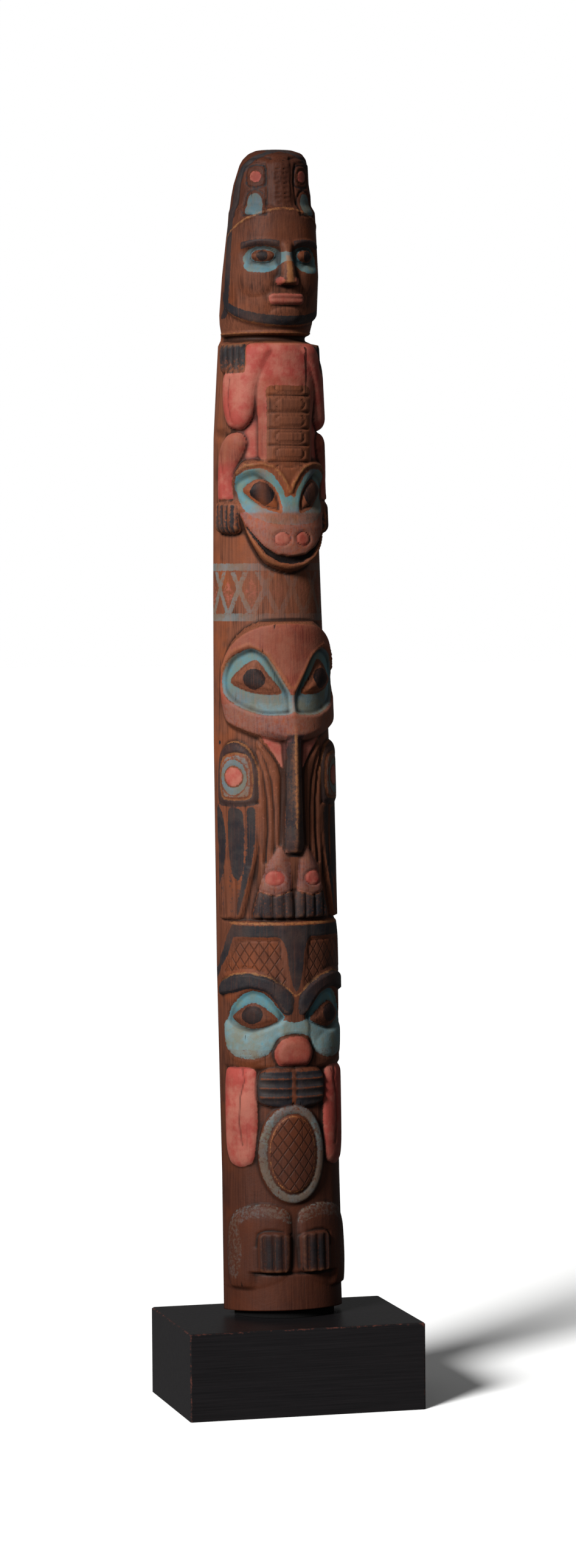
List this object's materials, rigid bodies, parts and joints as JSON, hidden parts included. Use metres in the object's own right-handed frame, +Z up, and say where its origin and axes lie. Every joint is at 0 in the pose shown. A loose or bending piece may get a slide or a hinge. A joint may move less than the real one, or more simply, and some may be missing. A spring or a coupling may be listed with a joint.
{
  "type": "totem pole",
  "caption": "Half-round carved and painted wooden totem pole with stacked beaver, raven, bear and hatted figures, fixed upright on a black rectangular plinth.",
  "frame": {"origin": "centre of the plinth's underside", "axes": "+Z up the pole, the carved front faces -Y, +X to the right of someone looking at the front"},
  "size_m": [0.21, 0.15, 1.0952],
  "materials": {
    "painted_cedar": "carved cedar, oiled with age, with worn matt paint in red, black and blue",
    "ebonised_plinth": "black stained hardwood, satin, rubbed red-brown along its edges",
    "black_packing": "matt black painted wedge"
  },
  "bodies": {
    "root": {"plinth": "ebonised_plinth", "packing": "black_packing", "pole": "painted_cedar"}
  },
  "joints": []
}
